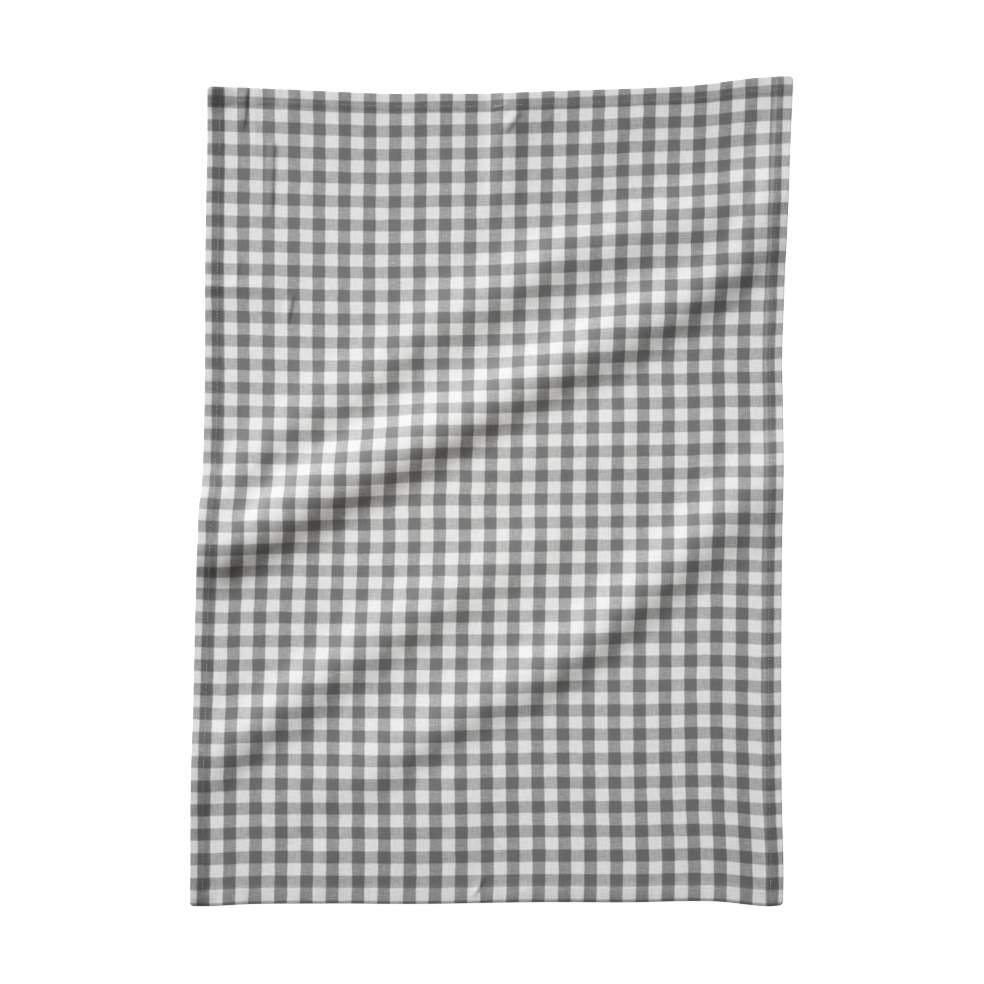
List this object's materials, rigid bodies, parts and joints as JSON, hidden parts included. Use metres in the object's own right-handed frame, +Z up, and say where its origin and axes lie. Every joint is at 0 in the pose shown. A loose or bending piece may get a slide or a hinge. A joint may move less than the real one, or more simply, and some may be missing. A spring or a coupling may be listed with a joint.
{
  "type": "tea towel",
  "caption": "Gingham cotton tea towel with turned hems on every side, lying flat on a table with soft slanting folds across it, for drying dishes.",
  "frame": {"origin": "on the table under the towel, at the middle of the box that it fills", "axes": "+X across the towel, +Y along it towards its top hem, +Z up from the table"},
  "size_m": [0.508, 0.699, 0.0166],
  "materials": {
    "gingham_cotton": "matte plain-woven cotton in an even grey and white check"
  },
  "bodies": {
    "root": {"towel_cloth": "gingham_cotton"}
  },
  "joints": []
}
